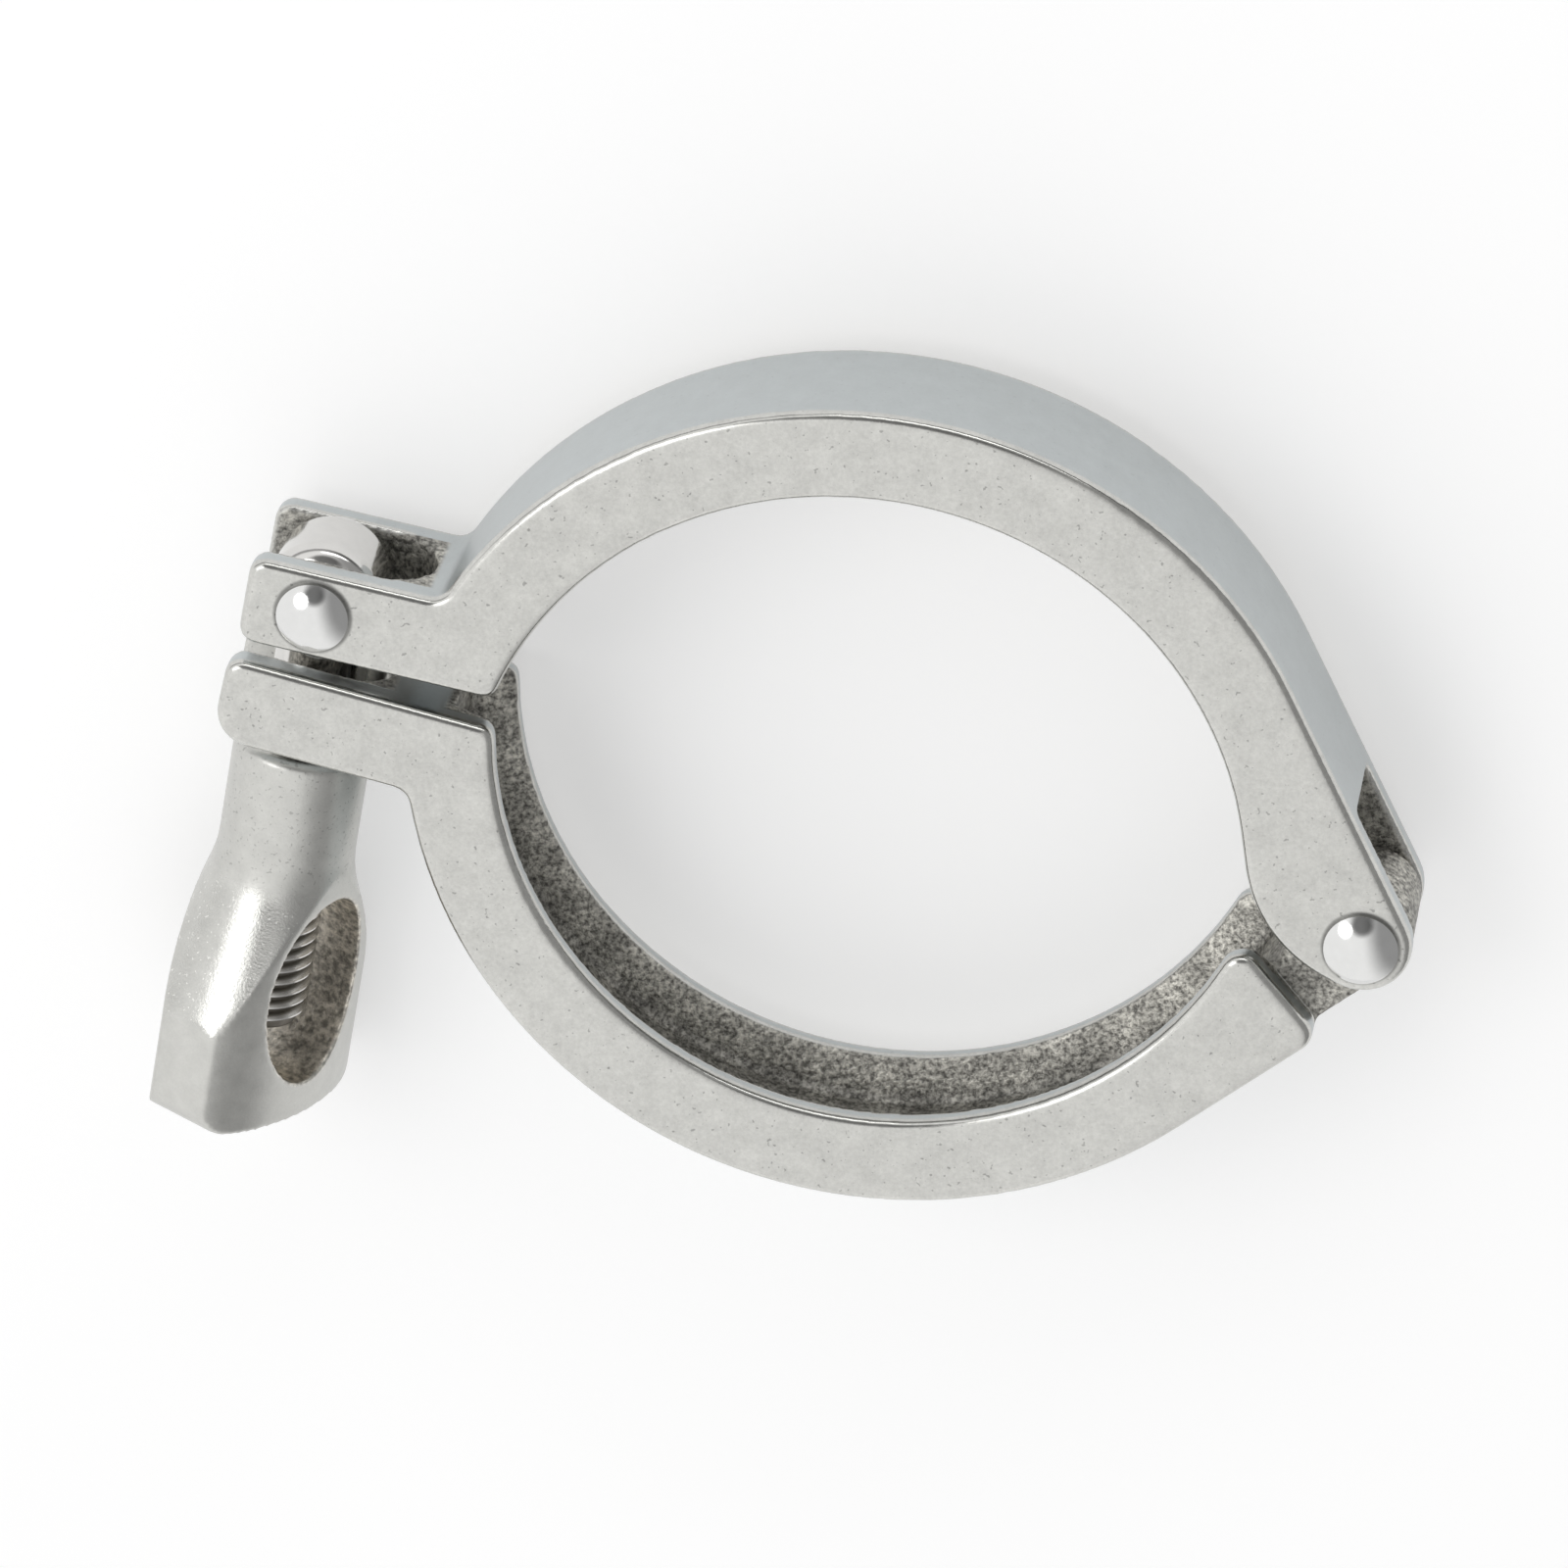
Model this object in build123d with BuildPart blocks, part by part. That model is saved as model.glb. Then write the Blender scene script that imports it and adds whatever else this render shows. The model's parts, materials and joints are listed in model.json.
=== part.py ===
"""Single-pin sanitary clamp: two cast half rings on a riveted hinge, drawn together by an eye bolt and a
cast wing nut.  Millimetres.  The ring lies flat: +Z is the ring axis, +X runs from the bolt side to the
hinge side, and the origin is the centre of the lower half ring, midway between the two side faces."""

from build123d import *

import os
from math import acos, asin, atan2, cos, degrees, radians, sin, sqrt, tan

os.makedirs("parts", exist_ok=True)

# Ring section, the same in both halves
lip_radius = 42.0          # inner radius of the two lips
rim_depth = 9.9            # lip to the outside of the rim
clamp_width = 18.0         # across the two side faces
lip_land = 2.4             # flat inner face of each lip
groove_depth = 4.8         # lip to the floor of the groove
flank_angle = 20.0         # each flank of the groove, from square to the axis
edge_round = 0.9           # cast rounding of the outside edges

# Hinge
hinge_angle = -26.1        # hinge pin seen from the ring centre
hinge_standoff = 2.4       # hinge pin centre outside the rim
hinge_slack = 0.9          # how much further from its own centre the upper half carries the pin
closing_angle = 11.6       # how far the empty clamp closes past the round position
hinge_pin_radius = 3.0
ear_radius = 5.4           # round end of the upper half's two ears
ear_slot = 11.6            # gap between the ears, at the hinge and at the bolt
hinge_slot_reach = 14.5    # end of the hinge slot, from the pin
flank_drop = 3.85          # straight run below the arc before the ear's inner side curves in
knuckle_radius = 5.3       # round end of the lower half's tongue
tongue_side_gap = 0.3      # tongue to each ear
tongue_root_turn = 4.0     # how far back into the rim the tongue's inner side starts, in degrees
tail_angle = -59.15        # where the lower rim leaves its arc in a straight tail
shoulder_gap = 10.4        # hinge pin centre to the lower half's shoulder
shoulder_angle = 31.7      # direction that the shoulder faces
shoulder_round = 2.2

# Bolt lugs
bolt_pin_angle = 159.25    # bolt pin seen from the ring centre
bolt_pin_standoff = 11.0   # bolt pin centre outside the rim
bolt_pin_radius = 3.0
lug_height = 10.0          # both lugs, parting face to outer face
upper_lug_angle = 161.6    # direction in which the upper lug points
lower_lug_angle = 159.35
upper_lug_end = 7.7        # bolt pin centre to the upper lug's end
lower_lug_end = 8.0
parting_gap = 2.57         # between the two lugs, under the bolt pin
lug_end_round = 1.9
lug_foot_round = 4.0       # lower outer corner of the lower lug, which the nut swings past
notch_round = 2.2          # where a lug meets the rim
parting_round = 1.5        # inner corner of the parting faces
eye_slot_centre = 5.4      # round end of the upper slot, inward of the bolt pin
shank_slot = 11.0          # width of the lower lug's open slot
shank_slot_centre = 4.2    # round end of the lower slot, inward of the bolt pin

# Eye bolt
bolt_tilt = 252.7          # direction of the shank, closed
shank_radius = 4.6         # at the pitch line of the thread
bolt_length = 53.3         # eye centre to the tip of the shank
tip_chamfer = 1.0
eye_radius = 6.2
eye_side_gap = 0.4         # eye to each ear
eye_round = 2.4

# Wing nut, measured along the bolt from the bolt pin
nut_top = 18.6
barrel_radius = 7.5
barrel_chamfer = 0.8
flare_start = 33.6         # where the barrel turns into the flare
flare_angle = 20.2         # flare, from the bolt's axis
flare_blend = 14.0
wing_bottom = 62.8
wing_reach = 13.4          # half the span over the wing tips
wing_long_radius = 15.0    # half axes of the oval that the wings are cut from
wing_short_radius = 7.6
wing_foot_round = 3.0      # lower corner of each wing
wing_turn = 63.0           # wings turned out of the ring's plane
window_centre = 47.4
window_half_width = 7.7
window_half_length = 11.3

# Rivet heads and fits
hinge_head_radius = 4.0
bolt_head_radius = 3.9
head_edge = 0.5            # short straight edge under each dome
head_dome = 1.4
fixed_fit = 0.02           # radial, a rivet in the ears that hold it
running_fit = 0.08         # radial, a rivet in the knuckle or the eye that turns on it

outer_radius = lip_radius + rim_depth
groove_radius = lip_radius + groove_depth
half_width = clamp_width / 2
half_lug = lug_height / 2
half_slot = ear_slot / 2


def polar(radius, angle):
    """Point at a radius and an angle in degrees."""
    return Vector(radius * cos(radians(angle)), radius * sin(radians(angle)))


def heading(vector):
    """Direction of a vector in degrees."""
    return degrees(atan2(vector.Y, vector.X))


def arc_between(centre, radius, start_angle, end_angle):
    """Counterclockwise arc from one direction to the next."""
    return CenterArc(centre, radius, start_angle, (end_angle - start_angle) % 360)


def first_hit(centre, radius, start, direction):
    """First point where a line meets a circle."""
    offset = start - centre
    along = offset.dot(direction)
    return start + direction * (-along - sqrt(along**2 - offset.dot(offset) + radius**2))


def crossing(point_a, direction_a, point_b, direction_b):
    """Point where two lines cross."""
    between = point_b - point_a
    spread = direction_a.X * direction_b.Y - direction_a.Y * direction_b.X
    return point_a + direction_a * ((between.X * direction_b.Y - between.Y * direction_b.X) / spread)


def round_corner(sketch, corner, radius):
    """Fillet the corner of an outline that lies nearest to a point."""
    fillet(sketch.vertices().sort_by_distance(corner)[0], radius)


def cut_groove(centre):
    """Ferrule groove: a trapezoid turned about the ring's axis."""
    mouth = half_width - lip_land
    floor = mouth - groove_depth * tan(radians(flank_angle))
    inside = lip_radius - rim_depth / 2
    with BuildSketch(Plane(centre, x_dir=(1, 0, 0), z_dir=(0, -1, 0))) as section:
        with BuildLine():
            Polyline(
                (inside, -mouth), (lip_radius, -mouth), (groove_radius, -floor),
                (groove_radius, floor), (lip_radius, mouth), (inside, mouth), close=True,
            )
        make_face()
    revolve(section.sketch, axis=Axis(centre, (0, 0, 1)), mode=Mode.SUBTRACT)


def cut_slot(outward, upward, round_centre, width, depth):
    """Open slot from a lug's end to a full round end inward of the bolt pin."""
    with BuildSketch(Plane(bolt_point, x_dir=outward, z_dir=upward)) as slot:
        with BuildLine():
            Line((clamp_width, width / 2), (-round_centre, width / 2))
            arc_between((-round_centre, 0), width / 2, 90, 270)
            Line((-round_centre, -width / 2), (clamp_width, -width / 2))
            Line((clamp_width, -width / 2), (clamp_width, width / 2))
        make_face()
    extrude(slot.sketch, amount=depth, both=True, mode=Mode.SUBTRACT)


def cut_pin_hole(centre, radius):
    """Hole for a rivet, right through along Z."""
    with BuildSketch(Plane.XY.offset(-half_width)) as hole:
        with Locations(centre):
            Circle(radius)
    extrude(hole.sketch, amount=clamp_width, mode=Mode.SUBTRACT)


lower_centre = Vector(0, 0)
hinge_point = polar(outer_radius + hinge_standoff, hinge_angle)
hinge_to_upper = outer_radius + hinge_standoff + hinge_slack
upper_centre = hinge_point + polar(hinge_to_upper, hinge_angle + 180 + closing_angle)
bolt_point = polar(outer_radius + bolt_pin_standoff, bolt_pin_angle)

# Upper half: rim, straight-sided hinge ears and a forked bolt lug
upper_out = polar(1, upper_lug_angle)
upper_up = polar(1, upper_lug_angle - 90)
upper_end_top = bolt_point + upper_out * upper_lug_end + upper_up * half_lug
upper_end_foot = bolt_point + upper_out * upper_lug_end - upper_up * half_lug
upper_notch = first_hit(upper_centre, outer_radius, upper_end_top, -upper_out)
upper_parting = first_hit(upper_centre, lip_radius, upper_end_foot, -upper_out)

flank_top = upper_centre + Vector(lip_radius, 0)
flank_foot = flank_top - Vector(0, flank_drop)
pin_from_flank = hinge_point - flank_foot
flank_radius = (pin_from_flank.dot(pin_from_flank) - ear_radius**2) / (2 * (pin_from_flank.X - ear_radius))
flank_centre = flank_foot + Vector(flank_radius, 0)
ear_start = heading(hinge_point - flank_centre)
ear_end = heading(hinge_point - upper_centre) + degrees(acos((outer_radius - ear_radius) / hinge_to_upper))

with BuildPart() as upper_half:
    with BuildSketch(Plane.XY.offset(-half_width)) as upper_outline:
        with BuildLine():
            arc_between(upper_centre, lip_radius, 0, heading(upper_parting - upper_centre))
            Line(flank_top, flank_foot)
            arc_between(flank_centre, flank_radius, 180, ear_start)
            arc_between(hinge_point, ear_radius, ear_start, ear_end)
            Line(hinge_point + polar(ear_radius, ear_end), upper_centre + polar(outer_radius, ear_end))
            arc_between(upper_centre, outer_radius, ear_end, heading(upper_notch - upper_centre))
            Polyline(upper_notch, upper_end_top, upper_end_foot, upper_parting)
        make_face()
        round_corner(upper_outline, upper_notch, notch_round)
        round_corner(upper_outline, upper_end_top, lug_end_round)
        round_corner(upper_outline, upper_end_foot, lug_end_round)
        round_corner(upper_outline, upper_parting, parting_round)
    extrude(amount=clamp_width)
    fillet(upper_half.faces().filter_by(Axis.Z).edges(), edge_round)
    with BuildSketch(Plane.XY.offset(-half_slot)):
        with Locations(hinge_point):
            Circle(hinge_slot_reach)
    extrude(amount=ear_slot, mode=Mode.SUBTRACT)
    cut_groove(upper_centre)
    cut_slot(upper_out, upper_up, eye_slot_centre, ear_slot, half_lug + edge_round)
    cut_pin_hole(hinge_point, hinge_pin_radius + fixed_fit)
    cut_pin_hole(bolt_point, bolt_pin_radius + fixed_fit)
upper_half.part.label = "upper_half"
export_step(upper_half.part, "parts/upper_half.step")

# Lower half: rim with a straight tail and shoulder, hinge tongue and an open bolt lug
lower_out = polar(1, lower_lug_angle)
lower_up = polar(1, lower_lug_angle - 90)
lower_end = bolt_point + lower_out * lower_lug_end
lower_end_top = lower_end - lower_up * (half_lug + parting_gap)
lower_end_foot = lower_end_top - lower_up * lug_height
lower_parting = first_hit(lower_centre, lip_radius, lower_end_top, -lower_out)
lower_notch = first_hit(lower_centre, outer_radius, lower_end_foot, -lower_out)

tail_start = polar(outer_radius, tail_angle)
tail_along = polar(1, tail_angle + 90)
shoulder_point = hinge_point - polar(shoulder_gap, shoulder_angle)
shoulder_along = polar(1, shoulder_angle + 90)
shoulder_foot = crossing(tail_start, tail_along, shoulder_point, shoulder_along)
shoulder_top = first_hit(lower_centre, lip_radius, shoulder_foot, shoulder_along)

# The tongue's outer side runs along the tail, its inner side from the groove's floor, both to the knuckle
knuckle_outer = hinge_point + polar(knuckle_radius, tail_angle)
groove_end = first_hit(lower_centre, groove_radius, shoulder_foot, shoulder_along)
tongue_root = polar(groove_radius, heading(groove_end) - tongue_root_turn)
tongue_reach = hinge_point - tongue_root
knuckle_inner_angle = heading(tongue_reach) + 90 + degrees(asin(knuckle_radius / tongue_reach.length))

with BuildPart() as lower_half:
    with BuildSketch(Plane.XY.offset(-half_width)) as lower_outline:
        with BuildLine():
            arc_between(lower_centre, lip_radius, heading(lower_parting), heading(shoulder_top))
            Polyline(shoulder_top, shoulder_foot, tail_start)
            arc_between(lower_centre, outer_radius, heading(lower_notch), tail_angle)
            Polyline(lower_notch, lower_end_foot, lower_end_top, lower_parting)
        make_face()
        round_corner(lower_outline, shoulder_top, shoulder_round)
        round_corner(lower_outline, shoulder_foot, shoulder_round)
        round_corner(lower_outline, lower_notch, notch_round)
        round_corner(lower_outline, lower_end_foot, lug_foot_round)
        round_corner(lower_outline, lower_end_top, lug_end_round)
        round_corner(lower_outline, lower_parting, parting_round)
    extrude(amount=clamp_width)
    fillet(lower_half.faces().filter_by(Axis.Z).edges(), edge_round)
    with BuildSketch(Plane.XY.offset(tongue_side_gap - half_slot)):
        with BuildLine():
            Line(knuckle_outer - tail_along * tongue_reach.length, knuckle_outer)
            arc_between(hinge_point, knuckle_radius, tail_angle, knuckle_inner_angle)
            Line(hinge_point + polar(knuckle_radius, knuckle_inner_angle), tongue_root)
            Line(tongue_root, knuckle_outer - tail_along * tongue_reach.length)
        make_face()
    extrude(amount=ear_slot - 2 * tongue_side_gap)
    cut_groove(lower_centre)
    cut_slot(lower_out, lower_up, shank_slot_centre, shank_slot, half_lug + parting_gap + lug_height + edge_round)
    cut_pin_hole(hinge_point, hinge_pin_radius + running_fit)
lower_half.part.label = "lower_half"
export_step(lower_half.part, "parts/lower_half.step")


def turn_rivet(centre, pin_radius, head_radius):
    """Rivet with a low dome closed on each side face."""
    head_top = half_width + head_edge + head_dome
    with BuildSketch(Plane(centre, x_dir=(1, 0, 0), z_dir=(0, -1, 0))) as section:
        with BuildLine():
            TangentArc((0, head_top), (head_radius, half_width + head_edge), tangent=(1, 0))
            Polyline(
                (head_radius, half_width + head_edge), (head_radius, half_width), (pin_radius, half_width),
                (pin_radius, -half_width), (head_radius, -half_width), (head_radius, -half_width - head_edge),
            )
            TangentArc((0, -head_top), (head_radius, -half_width - head_edge), tangent=(1, 0))
            Line((0, -head_top), (0, head_top))
        make_face()
    revolve(section.sketch, axis=Axis(centre, (0, 0, 1)))


with BuildPart() as hinge_pin:
    turn_rivet(hinge_point, hinge_pin_radius, hinge_head_radius)
hinge_pin.part.label = "hinge_pin"
export_step(hinge_pin.part, "parts/hinge_pin.step")

with BuildPart() as bolt_pin:
    turn_rivet(bolt_point, bolt_pin_radius, bolt_head_radius)
bolt_pin.part.label = "bolt_pin"
export_step(bolt_pin.part, "parts/bolt_pin.step")

# Eye bolt: a rounded eye on the pin and a plain shank at the thread's pitch line
bolt_along = polar(1, bolt_tilt)
bolt_across = polar(1, bolt_tilt + 90)

with BuildPart() as eye_bolt:
    with BuildSketch(Plane.XY.offset(eye_side_gap - half_slot)):
        with Locations(bolt_point):
            Circle(eye_radius)
    extrude(amount=ear_slot - 2 * eye_side_gap)
    fillet(eye_bolt.faces().filter_by(Axis.Z).edges(), eye_round)
    with BuildSketch(Plane(bolt_point, x_dir=bolt_across, z_dir=bolt_along)):
        Circle(shank_radius)
    extrude(amount=bolt_length)
    tip = eye_bolt.faces().sort_by_distance(bolt_point + bolt_along * bolt_length)[0]
    chamfer(tip.edges(), tip_chamfer)
    cut_pin_hole(bolt_point, bolt_pin_radius + running_fit)
eye_bolt.part.label = "eye_bolt"
export_step(eye_bolt.part, "parts/eye_bolt.step")

# Wing nut: barrel and flare turned about the bolt, cut to an oval plan and a rounded elevation
wing_along = bolt_across * cos(radians(wing_turn)) - Vector(0, 0, 1) * sin(radians(wing_turn))
wing_normal = bolt_across * sin(radians(wing_turn)) + Vector(0, 0, 1) * cos(radians(wing_turn))
nut_elevation = Plane(bolt_point, x_dir=wing_along, z_dir=-wing_normal)
flare_foot = barrel_radius + (wing_bottom - flare_start) * tan(radians(flare_angle))

with BuildPart() as wing_nut:
    with BuildSketch(nut_elevation) as flare_section:
        with BuildLine():
            Polyline(
                (0, nut_top), (barrel_radius - barrel_chamfer, nut_top),
                (barrel_radius, nut_top + barrel_chamfer), (barrel_radius, flare_start),
                (flare_foot, wing_bottom), (0, wing_bottom), close=True,
            )
        make_face()
        round_corner(flare_section, (barrel_radius, flare_start), flare_blend)
    revolve(axis=Axis(bolt_point, bolt_along))
    with BuildSketch(Plane(bolt_point, x_dir=wing_along, z_dir=bolt_along)):
        Ellipse(wing_long_radius, wing_short_radius)
    extrude(amount=wing_bottom, mode=Mode.INTERSECT)
    with BuildSketch(nut_elevation) as wing_elevation:
        with Locations((0, wing_bottom / 2)):
            Rectangle(2 * wing_reach, wing_bottom)
        round_corner(wing_elevation, (wing_reach, wing_bottom), wing_foot_round)
        round_corner(wing_elevation, (-wing_reach, wing_bottom), wing_foot_round)
    extrude(amount=wing_long_radius, both=True, mode=Mode.INTERSECT)
    with BuildSketch(nut_elevation):
        with Locations((0, window_centre)):
            Ellipse(window_half_width, window_half_length)
    extrude(amount=wing_long_radius, both=True, mode=Mode.SUBTRACT)
    with BuildSketch(Plane(bolt_point, x_dir=bolt_across, z_dir=bolt_along)):
        Circle(shank_radius + running_fit)
    extrude(amount=window_centre, mode=Mode.SUBTRACT)
wing_nut.part.label = "wing_nut"
export_step(wing_nut.part, "parts/wing_nut.step")
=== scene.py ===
"""Sanitary hinged clamp: finishes, cut thread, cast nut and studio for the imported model."""
import json
import math

import bpy
from bpy.props import FloatProperty, FloatVectorProperty, IntProperty, PointerProperty
from mathutils import Matrix, Vector


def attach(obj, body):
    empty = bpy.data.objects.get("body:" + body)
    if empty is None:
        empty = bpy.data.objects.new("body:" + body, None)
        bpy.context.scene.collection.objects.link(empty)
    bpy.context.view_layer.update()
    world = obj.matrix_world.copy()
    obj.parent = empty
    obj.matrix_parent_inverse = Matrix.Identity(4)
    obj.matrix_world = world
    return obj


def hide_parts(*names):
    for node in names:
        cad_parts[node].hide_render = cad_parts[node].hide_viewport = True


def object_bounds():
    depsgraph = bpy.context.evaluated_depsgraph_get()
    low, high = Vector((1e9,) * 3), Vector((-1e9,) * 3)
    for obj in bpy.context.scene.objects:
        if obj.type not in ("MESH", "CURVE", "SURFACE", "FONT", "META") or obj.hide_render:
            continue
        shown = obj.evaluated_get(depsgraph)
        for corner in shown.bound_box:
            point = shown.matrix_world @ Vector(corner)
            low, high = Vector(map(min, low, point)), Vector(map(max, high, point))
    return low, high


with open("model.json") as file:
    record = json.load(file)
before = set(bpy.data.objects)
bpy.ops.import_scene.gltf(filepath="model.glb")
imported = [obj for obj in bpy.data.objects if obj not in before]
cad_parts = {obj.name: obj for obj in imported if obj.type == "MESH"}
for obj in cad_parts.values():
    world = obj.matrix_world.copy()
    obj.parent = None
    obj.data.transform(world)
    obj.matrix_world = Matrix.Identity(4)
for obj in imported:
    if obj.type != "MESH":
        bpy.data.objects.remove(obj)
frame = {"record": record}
CAD_BOX = [list(corner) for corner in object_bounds()]

bl_info = {
    "name": "Sanitary Hinged Clamp",
    "version": (1, 0, 0),
    "blender": (4, 5, 0),
    "location": "View3D > Sidebar > Clamp",
    "description": "Finishes, thread, cast nut and studio of a sanitary hinged clamp",
    "category": "Object",
}

MM = 0.001
MERGE_DISTANCE = 0.001 * MM

# The ring lies flat, so both rivets stand along UP.
UP = Vector((0, 0, 1))
JOINTS = {joint["name"]: joint for joint in frame["record"]["behaviour"]["joints"]}
HINGE_PIN = Vector(JOINTS["clamp_hinge"]["pos_m"])
BOLT_PIN = Vector(JOINTS["bolt_swing"]["pos_m"])

# Each half is turned about an axis of its own. The lower half's goes through the origin.
LOWER_AXIS = Vector((0, 0, 0))
HINGE_TO_UPPER_AXIS = 55.2 * MM
UPPER_AXIS_TURN = math.radians(165.5)
UPPER_AXIS = HINGE_PIN + HINGE_TO_UPPER_AXIS * Vector(
    (math.cos(UPPER_AXIS_TURN), math.sin(UPPER_AXIS_TURN), 0))

# In its own axes the bolt runs along Z, from its rivet to its tip.
BOLT_ALONG = Vector(JOINTS["nut_travel"]["axis"]).normalized()
BOLT_TURN = BOLT_ALONG.to_track_quat("Z", "X").to_matrix().to_4x4()
BOLT_PLACE = Matrix.Translation(BOLT_PIN) @ BOLT_TURN

# The nut has the bolt's Z, and its wings spread along its own X, askew to the ring.
WING_TURN_ANGLE = math.radians(63)
WING_ALONG = UP.cross(BOLT_ALONG) * math.cos(WING_TURN_ANGLE) - UP * math.sin(WING_TURN_ANGLE)
WING_TURN = Matrix((WING_ALONG, BOLT_ALONG.cross(WING_ALONG), BOLT_ALONG)).transposed().to_4x4()

# Where the castings keep their as-cast skin: how far from an axis, and half of the gap's width.
GROOVE_REACH = 47.6 * MM
GROOVE_HALF_WIDTH = 6.68 * MM
BOLT_SLOT_REACH = 12.5 * MM
HINGE_SLOT_REACH = 14.2 * MM
SLOT_HALF_WIDTH = 5.86 * MM

# Painted shade: the groove's floor is painted darker than its flanks, between these distances from
# mid-width.
FLOOR_SIDE = 4.9 * MM
FLANK_SIDE = 5.6 * MM

# Painted shade: a thin darker ring on the casting round a rivet's head, where the head meets it.
SEAM_SHADE_INNER_RADIUS = 4.1 * MM
SEAM_SHADE_OUTER_RADIUS = 4.5 * MM

# The nut along the bolt: where the barrel gives way to the flare, and the oval window.
FLARE_START = 32 * MM
FLARE_END = 37 * MM
WINDOW_CENTRE = 47.4 * MM
WINDOW_HALF_WIDTH = 8.0 * MM
WINDOW_HALF_LENGTH = 11.6 * MM
DRILL_LENGTH = 40 * MM

# The thread: how deep its core enters the eye and its ridge enters the core, and the radius under
# which its grooves are dull and carry painted shade.
CORE_OVERLAP = 0.2 * MM
RIDGE_OVERLAP = 0.25 * MM
TIP_CHAMFER = 1.0 * MM
DULL_AND_SHADED_RADIUS = 4.55 * MM
STEPS_PER_TURN = 48

# The stage, in metres. A lamp has a name, a place, a size and the property with its power.
TABLE_SIZE = 4.0
LAMPS = (
    ("key_lamp", (-0.45, 0.35, 0.75), (0.5, 0.5), "key"),
    ("strip_lamp", (0.25, 0.75, 0.30), (0.7, 0.12), "rim"),
)
SENSOR_WIDTH_MM = 36

# The tent is dimmer in a round patch, where the operator stands in front of it.
PATCH_SIDE = (0.04, 0.56, 0.83)
PATCH_OUTER = math.radians(27)
PATCH_INNER = math.radians(12)


# ---------------------------------------------------------------- sizes and colours


class ClampFinish(bpy.types.PropertyGroup):
    """Colours and gloss of the steel"""

    casting: FloatVectorProperty(
        name="Casting", description="Tumbled faces of the two halves and the nut", subtype="COLOR",
        size=3, min=0, max=1, default=(0.632, 0.629, 0.600))
    # Partly painted reflection: the rim is smoother, and its darker, bluish tint stands in for what
    # the rim reflects.
    rim: FloatVectorProperty(
        name="Rim", description="Smoother outer rim of the halves", subtype="COLOR",
        size=3, min=0, max=1, default=(0.50, 0.535, 0.545))
    as_cast: FloatVectorProperty(
        name="As cast", description="Untouched skin of the groove and the slots", subtype="COLOR",
        size=3, min=0, max=1, default=(0.37, 0.36, 0.33))
    window: FloatVectorProperty(
        name="Window", description="Untouched skin inside the nut's window", subtype="COLOR",
        size=3, min=0, max=1, default=(0.66, 0.62, 0.55))
    rivet: FloatVectorProperty(
        name="Rivet", description="Polished rivet heads", subtype="COLOR",
        size=3, min=0, max=1, default=(0.74, 0.74, 0.73))
    bolt: FloatVectorProperty(
        name="Bolt", description="Turned eye and thread", subtype="COLOR",
        size=3, min=0, max=1, default=(0.68, 0.67, 0.65))
    # Painted shade: the thread's grooves are painted this dark colour.
    thread_groove_shade: FloatVectorProperty(
        name="Thread groove", description="Dull steel between the thread's crests", subtype="COLOR",
        size=3, min=0, max=1, default=(0.22, 0.205, 0.18))
    face_roughness: FloatProperty(
        name="Face roughness", description="Roughness of the tumbled faces",
        subtype="FACTOR", min=0, max=1, default=0.40)
    edge_roughness: FloatProperty(
        name="Edge roughness", description="Roughness of the worn, rounded edges",
        subtype="FACTOR", min=0, max=1, default=0.16)
    polished_roughness: FloatProperty(
        name="Polished roughness", description="Roughness of the rivet heads and the bolt's eye",
        subtype="FACTOR", min=0, max=1, default=0.07)


class ClampShapes(bpy.types.PropertyGroup):
    """Sizes of the thread and of the worn, rounded skins"""

    thread_pitch: FloatProperty(
        name="Thread pitch", description="Distance from one crest to the next",
        unit="LENGTH", default=1.5 * MM)
    thread_crest: FloatProperty(
        name="Crest radius", description="Outer radius of the thread",
        unit="LENGTH", default=4.95 * MM)
    thread_root: FloatProperty(
        name="Root radius", description="Radius of the bolt's core",
        unit="LENGTH", default=4.12 * MM)
    thread_start: FloatProperty(
        name="Thread start", description="Distance from the rivet to the thread's first turn",
        unit="LENGTH", default=15 * MM)
    bolt_end: FloatProperty(
        name="Bolt end", description="Distance from the rivet to the bolt's tip",
        unit="LENGTH", default=53.3 * MM)
    half_skin: FloatProperty(
        name="Half skin", description="Mesh size of the two halves' cast skin",
        unit="LENGTH", default=0.37 * MM)
    half_softness: IntProperty(
        name="Half softness", description="How far the tumbling has rounded the halves' edges",
        min=1, default=8)
    nut_bore: FloatProperty(
        name="Nut bore", description="Radius of the hole through the nut's barrel",
        unit="LENGTH", default=5.02 * MM)
    nut_skin: FloatProperty(
        name="Nut skin", description="Mesh size of the nut's cast skin",
        unit="LENGTH", default=0.26 * MM)
    nut_softness: IntProperty(
        name="Nut softness", description="How far the tumbling has rounded the nut's edges",
        min=1, default=9)


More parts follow.
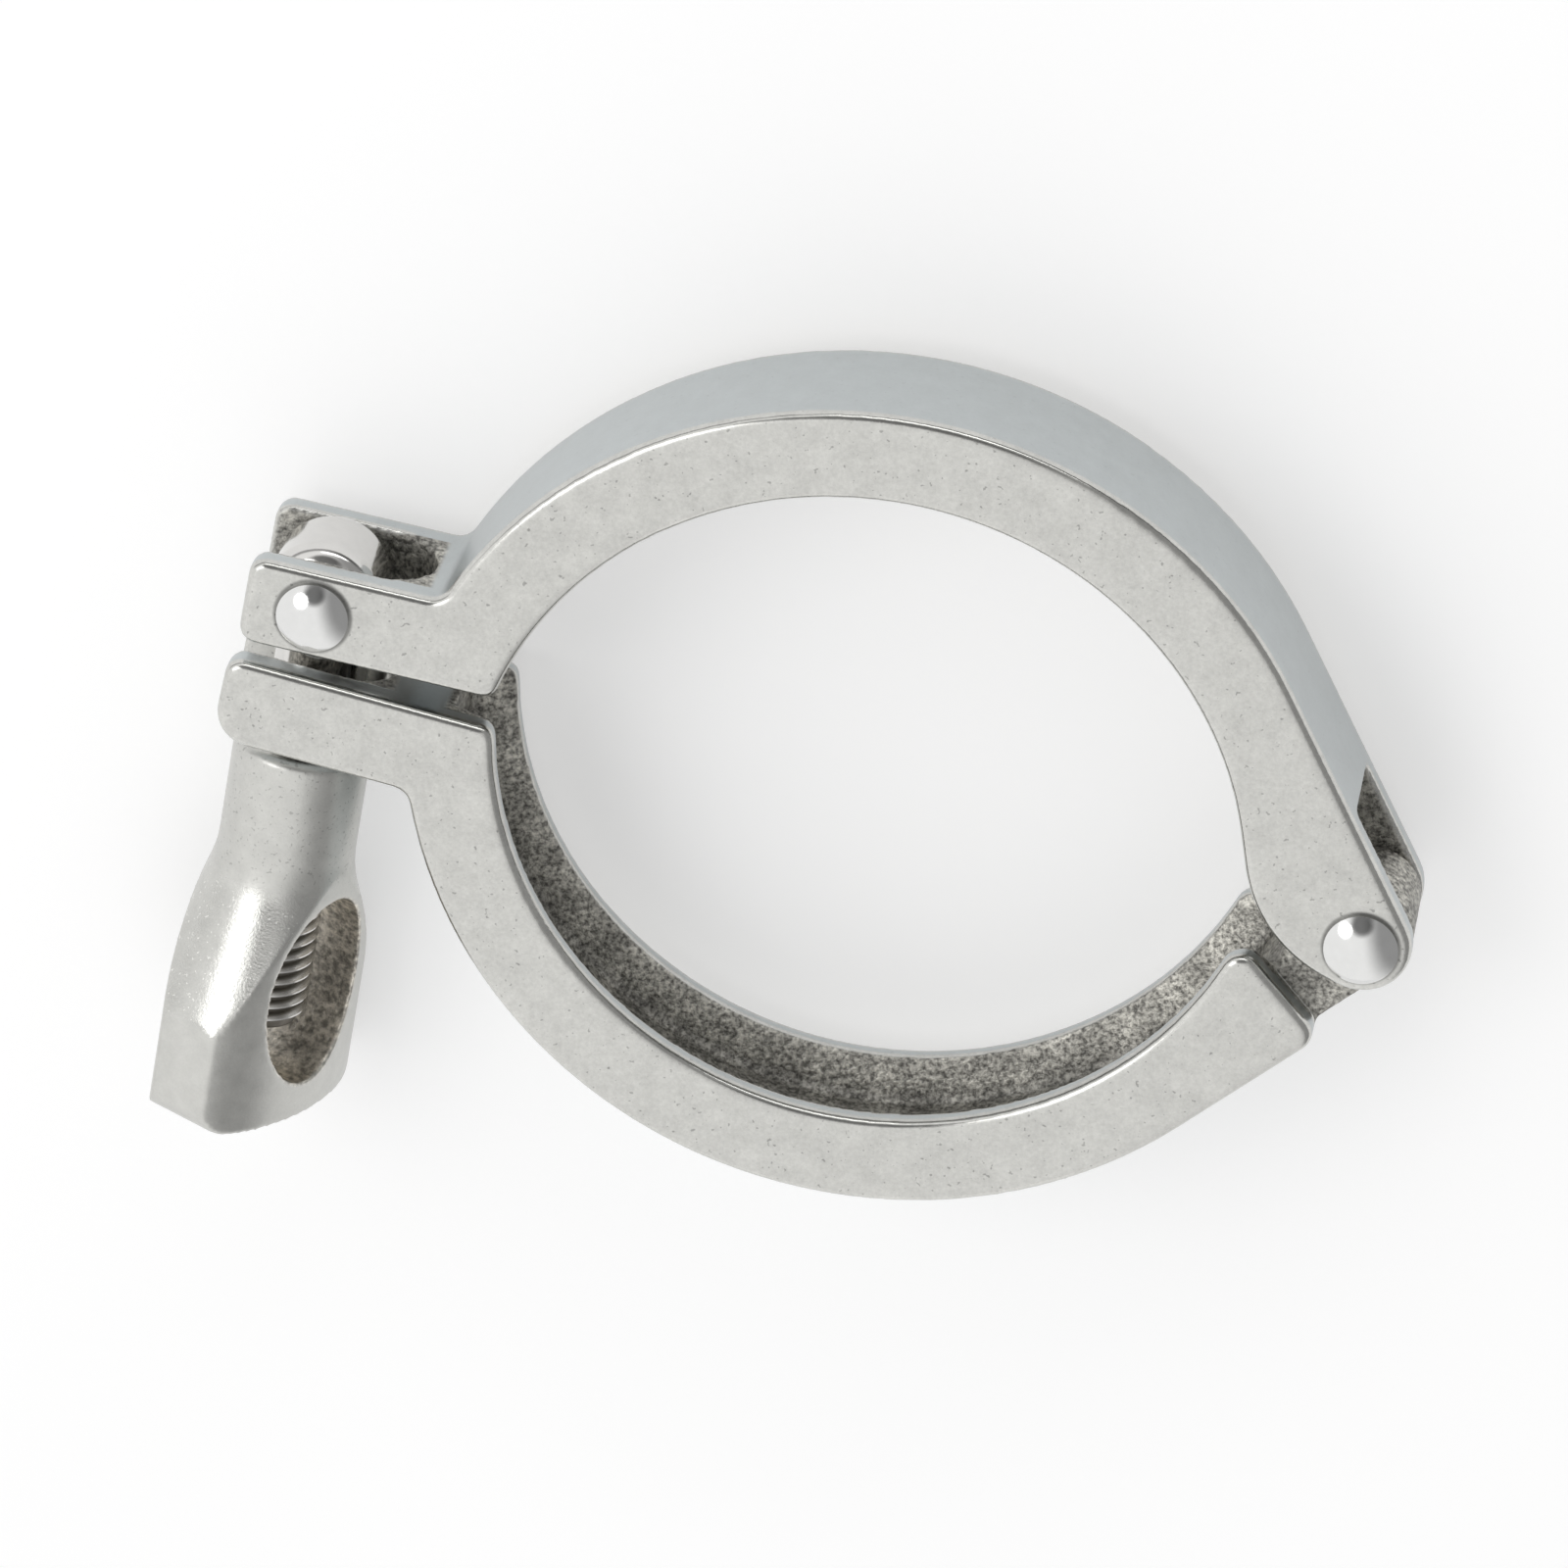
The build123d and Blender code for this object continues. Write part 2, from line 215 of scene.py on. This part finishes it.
class ClampStage(bpy.types.PropertyGroup):
    """Camera, floor and light"""

    azimuth: FloatProperty(
        name="Azimuth", description="Camera's swing from above the ring towards X",
        subtype="ANGLE", default=0.2085)
    elevation: FloatProperty(
        name="Elevation", description="Camera's swing from above the ring towards Y",
        subtype="ANGLE", default=0.4266)
    roll: FloatProperty(
        name="Roll", description="Camera's turn about its line of sight",
        subtype="ANGLE", default=-0.1465)
    distance: FloatProperty(
        name="Distance", description="From the camera to the ring's centre",
        unit="LENGTH", default=0.97027)
    aim: FloatVectorProperty(
        name="Aim", description="Camera's shift right and up from the ring's centre",
        size=2, unit="LENGTH", default=(-0.01173, -0.00506))
    lens: FloatProperty(
        name="Lens", description="Focal length on a 36 mm sensor, in mm", min=1, default=207.8)
    floor: FloatVectorProperty(
        name="Floor", description="White table", subtype="COLOR",
        size=3, min=0, max=1, default=(0.72, 0.72, 0.72))
    glow: FloatProperty(
        name="Glow", description="Light of the table itself, as the camera and the metal see it",
        min=0, default=0.38)
    sky: FloatProperty(
        name="Sky", description="Strength of the white tent over the table", min=0, default=1.0)
    key: FloatProperty(
        name="Key", description="Power of the large soft lamp", unit="POWER", min=0, default=1.0)
    rim: FloatProperty(
        name="Rim", description="Power of the strip lamp behind the clamp",
        unit="POWER", min=0, default=0.5)


# ---------------------------------------------------------------- shader helpers


class Wire:
    """A node's output that takes Python's operators, each of which adds a Math node."""

    def __init__(self, recipe, socket):
        self.recipe = recipe
        self.socket = socket

    def __add__(self, other):
        return self.recipe.math("ADD", self, other)

    def __radd__(self, other):
        return self.recipe.math("ADD", other, self)

    def __sub__(self, other):
        return self.recipe.math("SUBTRACT", self, other)

    def __rsub__(self, other):
        return self.recipe.math("SUBTRACT", other, self)

    def __mul__(self, other):
        return self.recipe.math("MULTIPLY", self, other)

    def __rmul__(self, other):
        return self.recipe.math("MULTIPLY", other, self)

    def __truediv__(self, other):
        return self.recipe.math("DIVIDE", self, other)

    def __rtruediv__(self, other):
        return self.recipe.math("DIVIDE", other, self)

    def __abs__(self):
        return self.recipe.math("ABSOLUTE", self)


class Recipe:
    """Fills one node tree."""

    def __init__(self, tree):
        self.tree = tree
        tree.nodes.clear()

    def node(self, kind, settings=None, inputs=None, output=0):
        """Add a node: its settings first, then the values or links of its sockets."""
        made = self.tree.nodes.new(kind)
        for key, value in (settings or {}).items():
            setattr(made, key, value)
        for key, value in (inputs or {}).items():
            if isinstance(value, Wire):
                self.tree.links.new(value.socket, made.inputs[key])
            else:
                made.inputs[key].default_value = value
        return Wire(self, made.outputs[output]) if made.outputs else made

    def math(self, operation, *values):
        return self.node("ShaderNodeMath", {"operation": operation}, dict(enumerate(values)))

    def smaller(self, first, second):
        return self.math("MINIMUM", first, second)

    def larger(self, first, second):
        return self.math("MAXIMUM", first, second)

    def length(self, x, y):
        """Length of a vector in a plane."""
        return self.math("SQRT", x * x + y * y)

    def distance_from(self, x, y, axis):
        """Distance from a line along Z."""
        return self.length(x - axis.x, y - axis.y)

    def ramp(self, value, low, high, start=0.0, end=1.0):
        """Smooth step of a value from start at low to end at high."""
        return self.node(
            "ShaderNodeMapRange", {"interpolation_type": "SMOOTHSTEP"},
            {"Value": value, "From Min": low, "From Max": high, "To Min": start, "To Max": end})

    def within(self, value, limit, soft):
        """1 where a value is under a limit, blurred by soft on either side of it."""
        return self.ramp(value, limit - soft, limit + soft, 1.0, 0.0)

    def noise(self, place, size, detail=2.0, rough=0.5):
        """Noise whose blobs are about one size across, in metres."""
        return self.node(
            "ShaderNodeTexNoise", None,
            {"Vector": place, "Scale": 1 / size, "Detail": detail, "Roughness": rough})

    def specks(self, place, size, threshold):
        """Sparse dots: 1 in the dots and 0 between them."""
        return self.ramp(self.noise(place, size, detail=1.0), threshold, threshold + 0.04)

    def mix(self, factor, first, second):
        """Colour that goes from the first to the second."""
        return self.node(
            "ShaderNodeMix", {"data_type": "RGBA"}, {0: factor, 6: first, 7: second}, output=2)

    def tint(self, colour, factor):
        """Colour times a value."""
        return self.node(
            "ShaderNodeVectorMath", {"operation": "SCALE"}, {0: tuple(colour), "Scale": factor})

    def stretch(self, place, factors):
        """Place with each coordinate times its own factor."""
        return self.node(
            "ShaderNodeVectorMath", {"operation": "MULTIPLY"}, {0: place, 1: factors})

    def along(self, vector, direction):
        """How far a vector goes along a fixed direction."""
        return self.node(
            "ShaderNodeVectorMath", {"operation": "DOT_PRODUCT"},
            {0: vector, 1: tuple(direction)}, output=1)

    def split(self, vector):
        """The three coordinates of a vector."""
        parts = self.node("ShaderNodeSeparateXYZ", None, {0: vector}).socket.node.outputs
        return [Wire(self, part) for part in parts]

    def turned(self, place, origin, turn):
        """Place in the axes of a piece that lies askew."""
        return self.node(
            "ShaderNodeMapping", {"vector_type": "TEXTURE"},
            {"Vector": place, "Location": tuple(origin), "Rotation": tuple(turn.to_euler())})


def make_metal(name, build):
    """Material of bare steel: build gives its colour, roughness and relief with its depth."""
    material = bpy.data.materials.new(name)
    material.use_nodes = True
    recipe = Recipe(material.node_tree)
    place = recipe.node("ShaderNodeTexCoord", output="Object")
    facing = recipe.node("ShaderNodeTexCoord", output="Normal")
    colour, roughness, relief, depth = build(recipe, place, facing)
    bump = recipe.node(
        "ShaderNodeBump", None, {"Height": relief, "Distance": depth, "Strength": 1.0})
    steel = recipe.node(
        "ShaderNodeBsdfPrincipled", None,
        {"Base Color": colour, "Roughness": roughness, "Metallic": 1.0, "Normal": bump})
    recipe.node("ShaderNodeOutputMaterial", None, {"Surface": steel})
    return material


# ---------------------------------------------------------------- finishes


def cast_steel(ring_axis):
    """Tumbled casting with polished edges and an as-cast groove and slots, with painted shade in
    the groove's floor and round the rivet heads, and a painted reflection on the rim.
    """

    def build(recipe, place, facing):
        finish = bpy.context.scene.clamp_finish
        x, y, z = recipe.split(place)
        depth = abs(z)
        tilt = abs(recipe.split(facing)[2])
        from_axis = recipe.distance_from(x, y, ring_axis)
        from_bolt_pin = recipe.distance_from(x, y, BOLT_PIN)
        from_hinge_pin = recipe.distance_from(x, y, HINGE_PIN)

        groove = (recipe.within(from_axis, GROOVE_REACH, 0.4 * MM)
                  * recipe.within(depth, GROOVE_HALF_WIDTH, 0.1 * MM))
        near_bolt = recipe.within(from_bolt_pin, BOLT_SLOT_REACH, 0.4 * MM)
        near_hinge = recipe.within(from_hinge_pin, HINGE_SLOT_REACH, 0.4 * MM)
        slots = (recipe.larger(near_bolt, near_hinge)
                 * recipe.within(depth, SLOT_HALF_WIDTH, 0.08 * MM))
        rough_cast = recipe.larger(groove, slots)
        edge = recipe.ramp(tilt, 0.985, 0.93) * recipe.ramp(tilt, 0.06, 0.3) * (1 - rough_cast)
        # Sideways-facing skin: smoother, and tinted darker and bluish as a painted reflection.
        rim = recipe.within(tilt, 0.12, 0.1) * (1 - rough_cast)
        # Painted shade: a darker ring on the casting round each rivet's head, where the head meets
        # it.
        painted_seam_shade = recipe.ramp(
            recipe.smaller(from_bolt_pin, from_hinge_pin),
            SEAM_SHADE_INNER_RADIUS, SEAM_SHADE_OUTER_RADIUS, 0.45, 1.0)

        cloud = recipe.noise(place, 2.6 * MM, detail=4.0, rough=0.62)
        grain = recipe.noise(place, 0.42 * MM, detail=4.0, rough=0.7)
        dots = recipe.specks(place, 0.55 * MM, 0.70)
        pits = recipe.noise(place, 0.55 * MM, detail=4.0, rough=0.65)
        scale = recipe.noise(place, 4.5 * MM, detail=3.0, rough=0.6)

        face_shade = (0.93 + 0.34 * (cloud - 0.5) - 0.42 * (grain - 0.5) * (1 - rim)
                      - 0.34 * dots * (1 - rim) * (1 - edge))
        rim_shade = 0.92 + 0.16 * cloud - 0.12 * (grain - 0.5) - 0.10 * dots
        # Painted shade: the groove's floor is painted darker than its flanks.
        flank = recipe.ramp(depth, FLOOR_SIDE, FLANK_SIDE, 0.78, 1.3)
        cast_shade = (recipe.ramp(pits, 0.3, 0.72, 0.3, 1.75)
                      * recipe.ramp(scale, 0.3, 0.7, 0.7, 1.25)
                      * (1 + (flank - 1) * groove))
        # Faces and rim colour, carrying the painted shade round the rivet heads and the rim's
        # painted reflection.
        tumbled_and_painted_light = recipe.mix(
            rim * 0.85, recipe.tint(finish.casting, face_shade * painted_seam_shade),
            recipe.tint(finish.rim, rim_shade))
        colour = recipe.mix(rough_cast, tumbled_and_painted_light, recipe.tint(finish.as_cast, cast_shade))

        smooth = finish.face_roughness + 0.10 * (cloud - 0.5) - rim * 0.06
        worn = smooth + (finish.edge_roughness - finish.face_roughness) * edge
        roughness = worn + (0.34 + 0.25 * pits - worn) * rough_cast
        relief = ((0.2 * grain + 0.2 * cloud) * (1 - rough_cast) * (1 - 0.8 * edge)
                  + 3.2 * pits * rough_cast)
        return colour, roughness, relief, 0.05 * MM

    return build


def polished_rivet(recipe, place, facing):
    """Bright head with fine handling marks."""
    finish = bpy.context.scene.clamp_finish
    haze = recipe.noise(place, 1.1 * MM, detail=3.0)
    marks = recipe.noise(place, 0.16 * MM)
    colour = recipe.tint(finish.rivet, 0.95 + 0.08 * haze - 0.04 * marks)
    roughness = finish.polished_roughness + 0.10 * haze * haze
    return colour, roughness, 0.25 * haze + 0.05 * marks, 0.02 * MM


def turned_bolt(recipe, place, facing):
    """Bright eye, turning marks along the thread, and duller grooves between its crests with
    painted shade in them.
    """
    finish = bpy.context.scene.clamp_finish
    shapes = bpy.context.scene.clamp_shapes
    own_place = recipe.turned(place, BOLT_PIN, BOLT_TURN)
    across, up, along = recipe.split(own_place)
    on_thread = recipe.ramp(along, shapes.thread_start - 0.6 * MM, shapes.thread_start)
    # Painted shade: under this radius the grooves are painted dark; they are also rougher.
    groove = recipe.within(recipe.length(across, up), DULL_AND_SHADED_RADIUS, 0.3 * MM) * on_thread
    haze = recipe.noise(place, 1.2 * MM, detail=3.0)
    rings = recipe.noise(recipe.stretch(own_place, (0.06, 0.06, 1.0)), 0.09 * MM, detail=1.0)
    colour = recipe.mix(
        groove, recipe.tint(finish.bolt, 0.94 + 0.1 * haze),
        recipe.tint(finish.thread_groove_shade, 0.8 + 0.4 * haze))
    roughness = finish.polished_roughness + 0.10 * haze + 0.06 * on_thread + 0.25 * groove
    return colour, roughness, 0.15 * haze + 0.12 * rings * on_thread, 0.02 * MM


def cast_nut(recipe, place, facing):
    """Tumbled nut with a bright, smoother blasted flare whose sparkle is painted glints, and an
    as-cast window.
    """
    finish = bpy.context.scene.clamp_finish
    across, _, along = recipe.split(recipe.turned(place, BOLT_PIN, WING_TURN))
    from_centre = recipe.length(
        across / WINDOW_HALF_WIDTH, (along - WINDOW_CENTRE) / WINDOW_HALF_LENGTH)
    inside = recipe.within(from_centre, 0.99, 0.03)
    flare = recipe.ramp(along, FLARE_START, FLARE_END)
    blasted = recipe.ramp(recipe.along(facing, BOLT_ALONG), -0.12, -0.26)

    cloud = recipe.noise(place, 2.2 * MM, detail=4.0, rough=0.6)
    grain = recipe.noise(place, 0.3 * MM, detail=3.0, rough=0.65)
    dots = recipe.specks(place, 0.42 * MM, 0.66)
    pits = recipe.noise(place, 0.9 * MM, detail=5.0, rough=0.65)
    # Painted glints: bright specks added to the flare's colour.
    painted_glints = recipe.specks(place, 0.42 * MM, 0.67) * flare * blasted * (1 - inside)

    shade = (0.91 + 0.26 * (cloud - 0.5) - 0.16 * (grain - 0.5) - 0.24 * dots * (1 - flare)
             + 0.34 * painted_glints)
    colour = recipe.mix(
        inside, recipe.tint(finish.casting, shade),
        recipe.tint(finish.window, recipe.ramp(pits, 0.3, 0.7, 0.35, 1.5)))
    roughness = ((0.34 + 0.12 * (cloud - 0.5) - 0.16 * flare * blasted) * (1 - inside)
                 + 0.42 * inside)
    relief = (0.35 + 0.25 * flare * blasted) * grain + 0.25 * cloud + 1.6 * pits * inside
    return colour, roughness, relief, 0.05 * MM


def white_table(stage):
    """White paper with a glow that only the camera and the metal's reflections see."""
    material = bpy.data.materials.new("white_table")
    material.use_nodes = True
    recipe = Recipe(material.node_tree)
    cloud = recipe.noise(recipe.node("ShaderNodeTexCoord", output="Object"), 90 * MM)
    paper = recipe.node(
        "ShaderNodeBsdfDiffuse", None, {"Color": recipe.tint(stage.floor, 0.995 + 0.01 * cloud)})
    seen = recipe.larger(
        recipe.node("ShaderNodeLightPath", output="Is Camera Ray"),
        recipe.node("ShaderNodeLightPath", output="Is Glossy Ray"))
    glow = recipe.node(
        "ShaderNodeEmission", None, {"Color": (1, 1, 1, 1), "Strength": stage.glow * seen})
    both = recipe.node("ShaderNodeAddShader", None, {0: paper, 1: glow})
    recipe.node("ShaderNodeOutputMaterial", None, {"Surface": both})
    return material


# ---------------------------------------------------------------- mesh helpers


def deselect_all():
    if bpy.context.mode != "OBJECT":
        bpy.ops.object.mode_set(mode="OBJECT")
    bpy.ops.object.select_all(action="DESELECT")


def pick(*objects):
    """Select only these objects, the first one active."""
    deselect_all()
    for piece in objects:
        piece.select_set(True)
    bpy.context.view_layer.objects.active = objects[0]


def edit(piece, *steps):
    """Run edit-mode operators on all of a piece."""
    pick(piece)
    bpy.ops.object.mode_set(mode="EDIT")
    bpy.ops.mesh.select_all(action="SELECT")
    for operator, arguments in steps:
        operator(**arguments)
    bpy.ops.object.mode_set(mode="OBJECT")


def apply_modifier(piece, kind, **settings):
    pick(piece)
    modifier = piece.modifiers.new(kind.title(), kind)
    for key, value in settings.items():
        setattr(modifier, key, value)
    bpy.ops.object.modifier_apply(modifier=modifier.name)


def copy_of(node, name):
    """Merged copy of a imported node's mesh, ready for editing."""
    source = bpy.data.objects[node]
    piece = source.copy()
    piece.data = source.data.copy()
    piece.name = piece.data.name = name
    piece.data.materials.clear()
    bpy.context.scene.collection.objects.link(piece)
    pick(piece)
    bpy.ops.mesh.customdata_custom_splitnormals_clear()
    edit(piece, (bpy.ops.mesh.remove_doubles, {"threshold": MERGE_DISTANCE}))
    return piece


def add_rod(name, radius, start, end, vertices):
    """Cylinder along Z, from start to end."""
    deselect_all()
    bpy.ops.mesh.primitive_cylinder_add(
        vertices=vertices, radius=radius, depth=end - start, location=(0, 0, (start + end) / 2))
    piece = bpy.context.object
    piece.name = name
    return piece


def tumble(piece, skin, softness):
    """Remake a piece's skin as an even mesh and wear its edges round."""
    apply_modifier(piece, "REMESH", mode="VOXEL", voxel_size=skin, adaptivity=0.0)
    apply_modifier(piece, "SMOOTH", factor=0.5, iterations=softness)
    pick(piece)
    bpy.ops.object.shade_smooth()


def settle(piece, placement):
    """Carry a piece from its own axes to its place in the clamp, with its object at the origin."""
    piece.matrix_world = placement @ piece.matrix_basis
    pick(piece)
    bpy.ops.object.transform_apply(location=True, rotation=True, scale=True)


def cover(piece, body, slot, material, *nodes):
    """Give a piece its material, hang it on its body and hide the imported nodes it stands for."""
    piece.data.materials.clear()
    piece.data.materials.append(material)
    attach(piece, body)
    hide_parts(*nodes)


def dress(node, material):
    """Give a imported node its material."""
    piece = bpy.data.objects[node]
    if not piece.material_slots:
        piece.data.materials.append(material)
    for slot in piece.material_slots:
        slot.material = material


# ---------------------------------------------------------------- operators


class CLAMP_OT_castings(bpy.types.Operator):
    """Round the edges of the two cast halves as tumbling leaves them"""

    bl_idname = "clamp.castings"
    bl_label = "Castings"

    def execute(self, context):
        shapes = context.scene.clamp_shapes
        for node, ring_axis in (("lower_half", LOWER_AXIS), ("upper_half", UPPER_AXIS)):
            casting = copy_of(node, "cast_" + node)
            tumble(casting, shapes.half_skin, shapes.half_softness)
            material = make_metal("cast_steel_" + node, cast_steel(ring_axis))
            cover(casting, node, "cast_steel", material, node)
        return {"FINISHED"}


class CLAMP_OT_rivets(bpy.types.Operator):
    """Finish the hinge rivet and the bolt rivet"""

    bl_idname = "clamp.rivets"
    bl_label = "Rivets"

    def execute(self, context):
        material = make_metal("polished_rivet", polished_rivet)
        for node in ("hinge_pin", "bolt_pin"):
            dress(node, material)
        return {"FINISHED"}


class CLAMP_OT_eye_bolt(bpy.types.Operator):
    """Cut the thread of the eye bolt"""

    bl_idname = "clamp.eye_bolt"
    bl_label = "Eye bolt"

    def execute(self, context):
        shapes = context.scene.clamp_shapes
        eye = self.eye(shapes)
        core = self.core(shapes)
        ridge = self.ridge(shapes)
        pick(eye, core, ridge)
        bpy.ops.object.join()
        bpy.ops.object.shade_smooth_by_angle(angle=math.radians(35))
        cover(eye, "swing_bolt", "turned_bolt", make_metal("turned_bolt", turned_bolt), "eye_bolt")
        return {"FINISHED"}

    def eye(self, shapes):
        """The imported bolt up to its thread."""
        eye = copy_of("eye_bolt", "threaded_bolt")
        edit(eye, (bpy.ops.mesh.bisect, {
            "plane_co": BOLT_PIN + BOLT_ALONG * shapes.thread_start, "plane_no": BOLT_ALONG,
            "use_fill": True, "clear_outer": True}))
        return eye

    def core(self, shapes):
        """Plain rod under the thread, chamfered at its tip."""
        core = add_rod(
            "thread_core", shapes.thread_root, shapes.thread_start - CORE_OVERLAP,
            shapes.bolt_end, vertices=64)
        apply_modifier(core, "BEVEL", width=TIP_CHAMFER * 0.7, segments=2, limit_method="ANGLE")
        settle(core, BOLT_PLACE)
        return core

    def ridge(self, shapes):
        """Helical ridge: a flank, a crest an eighth of the pitch wide, and the other flank."""
        pitch = shapes.thread_pitch
        inner = shapes.thread_root - RIDGE_OVERLAP
        height = shapes.thread_crest - inner
        crest = pitch / 8
        flank = (pitch - 2 * crest) / 2
        deselect_all()
        bpy.ops.mesh.primitive_plane_add(size=0.1 * MM, location=(0, 0, 0))
        ridge = bpy.context.object
        ridge.name = "thread_ridge"
        steps = [(bpy.ops.mesh.merge, {"type": "CENTER"}),
                 (bpy.ops.transform.translate, {"value": (inner, 0, 0)})]
        for outward, climb in ((height, flank), (0, crest), (-height, flank)):
            steps.append((bpy.ops.mesh.extrude_region_move,
                          {"TRANSFORM_OT_translate": {"value": (outward, 0, climb)}}))
        edit(ridge, *steps)
        edit(ridge, (bpy.ops.mesh.edge_face_add, {}), (bpy.ops.mesh.delete, {"type": "ONLY_FACE"}))
        turns = int((shapes.bolt_end - shapes.thread_start - TIP_CHAMFER) / pitch)
        apply_modifier(
            ridge, "SCREW", screw_offset=pitch, iterations=turns, steps=STEPS_PER_TURN,
            render_steps=STEPS_PER_TURN, use_merge_vertices=True, merge_threshold=MERGE_DISTANCE)
        edit(ridge, (bpy.ops.mesh.fill_holes, {"sides": 4}),
             (bpy.ops.mesh.normals_make_consistent, {"inside": False}))
        settle(ridge, BOLT_PLACE @ Matrix.Translation((0, 0, shapes.thread_start)))
        return ridge


class CLAMP_OT_wing_nut(bpy.types.Operator):
    """Open the wing nut's bore for the thread and round its edges as tumbling leaves them"""

    bl_idname = "clamp.wing_nut"
    bl_label = "Wing nut"

    def execute(self, context):
        shapes = context.scene.clamp_shapes
        nut = copy_of("wing_nut", "cast_wing_nut")
        drill = add_rod("drill", shapes.nut_bore, 0, DRILL_LENGTH, vertices=96)
        settle(drill, BOLT_PLACE)
        apply_modifier(nut, "BOOLEAN", object=drill, operation="DIFFERENCE", solver="EXACT")
        bpy.data.objects.remove(drill)
        tumble(nut, shapes.nut_skin, shapes.nut_softness)
        cover(nut, "nut", "cast_nut", make_metal("cast_nut", cast_nut), "wing_nut")
        return {"FINISHED"}


class CLAMP_OT_stage(bpy.types.Operator):
    """Set the table, the white tent, the lamps and the camera"""

    bl_idname = "clamp.stage"
    bl_label = "Stage"

    def execute(self, context):
        stage = context.scene.clamp_stage
        self.table(stage)
        self.tent(context, stage)
        for name, place, size, power in LAMPS:
            self.lamp(context, name, Vector(place), size, getattr(stage, power))
        self.camera(context, stage)
        context.scene.view_settings.view_transform = "Standard"
        return {"FINISHED"}

    def table(self, stage):
        """Flat table that the clamp lies on."""
        deselect_all()
        bpy.ops.mesh.primitive_grid_add(
            x_subdivisions=4, y_subdivisions=4, size=TABLE_SIZE, location=(0, 0, CAD_BOX[0][2]))
        table = bpy.context.object
        table.name = "table"
        settle(table, Matrix())
        table.data.materials.append(white_table(stage))

    def tent(self, context, stage):
        """White sky that fades to the right, with a darker band low behind and a dimmer patch."""
        world = bpy.data.worlds.new("white_tent")
        world.use_nodes = True
        context.scene.world = world
        recipe = Recipe(world.node_tree)
        direction = recipe.node("ShaderNodeTexCoord", output="Generated")
        right, behind, up = recipe.split(direction)
        fade = recipe.ramp(right, -0.05, 0.62, 1.08, 0.36)
        low = recipe.ramp(up, -0.05, 0.05) * recipe.ramp(up, 0.2, 0.3, 1.0, 0.0)
        band = 1.0 - 0.6 * low * recipe.ramp(behind, 0.2, 0.6)
        patch = recipe.ramp(
            recipe.along(direction, PATCH_SIDE),
            math.cos(PATCH_OUTER), math.cos(PATCH_INNER), 1.0, 0.2)
        light = recipe.node(
            "ShaderNodeBackground", None,
            {"Color": (1, 1, 1, 1), "Strength": fade * band * patch * stage.sky})
        recipe.node("ShaderNodeOutputWorld", None, {"Surface": light})

    def lamp(self, context, name, place, size, power):
        """Oval soft lamp that faces the ring's centre."""
        lamp = bpy.data.lights.new(name, "AREA")
        lamp.shape = "ELLIPSE"
        lamp.size, lamp.size_y = size
        lamp.energy = power
        holder = bpy.data.objects.new(name, lamp)
        context.scene.collection.objects.link(holder)
        holder.location = place
        holder.rotation_euler = place.to_track_quat("Z", "Y").to_euler()

    def camera(self, context, stage):
        """Long lens that looks down on the ring."""
        right, up, back = camera_axes(stage)
        camera = bpy.data.cameras.new("camera")
        camera.sensor_width = SENSOR_WIDTH_MM
        camera.lens = stage.lens
        camera.clip_start = 10 * MM
        holder = bpy.data.objects.new("camera", camera)
        context.scene.collection.objects.link(holder)
        place = back * stage.distance + right * stage.aim[0] + up * stage.aim[1]
        turn = Matrix((right, up, back)).transposed().to_4x4()
        holder.matrix_world = Matrix.Translation(place) @ turn
        context.scene.camera = holder


def camera_axes(stage):
    """Camera's right, up and backward directions."""
    level = math.cos(stage.elevation)
    back = Vector((
        math.sin(stage.azimuth) * level,
        math.sin(stage.elevation),
        math.cos(stage.azimuth) * level))
    right = Vector((0, 1, 0)).cross(back).normalized()
    up = back.cross(right)
    cosine, sine = math.cos(stage.roll), math.sin(stage.roll)
    return right * cosine + up * sine, up * cosine - right * sine, back


class CLAMP_PT_sidebar(bpy.types.Panel):
    """Lists the clamp's operators, finishes, sizes and stage"""

    bl_idname = "CLAMP_PT_sidebar"
    bl_label = "Sanitary Hinged Clamp"
    bl_space_type = "VIEW_3D"
    bl_region_type = "UI"
    bl_category = "Clamp"

    def draw(self, context):
        for operator in OPERATORS:
            self.layout.operator(operator.bl_idname)
        for name in GROUPS:
            group = getattr(context.scene, name)
            box = self.layout.box()
            for key in group.__annotations__:
                box.prop(group, key)


OPERATORS = (
    CLAMP_OT_castings, CLAMP_OT_rivets, CLAMP_OT_eye_bolt, CLAMP_OT_wing_nut, CLAMP_OT_stage)
GROUPS = {"clamp_finish": ClampFinish, "clamp_shapes": ClampShapes, "clamp_stage": ClampStage}
CLASSES = (*GROUPS.values(), *OPERATORS, CLAMP_PT_sidebar)


def register():
    for item in CLASSES:
        bpy.utils.register_class(item)
    for name, group in GROUPS.items():
        setattr(bpy.types.Scene, name, PointerProperty(type=group))


def unregister():
    for name in GROUPS:
        delattr(bpy.types.Scene, name)
    for item in reversed(CLASSES):
        bpy.utils.unregister_class(item)


def main():
    register()
    bpy.ops.clamp.castings()
    bpy.ops.clamp.rivets()
    bpy.ops.clamp.eye_bolt()
    bpy.ops.clamp.wing_nut()
    bpy.ops.clamp.stage()
    deselect_all()


if __name__ == "__main__":
    main()
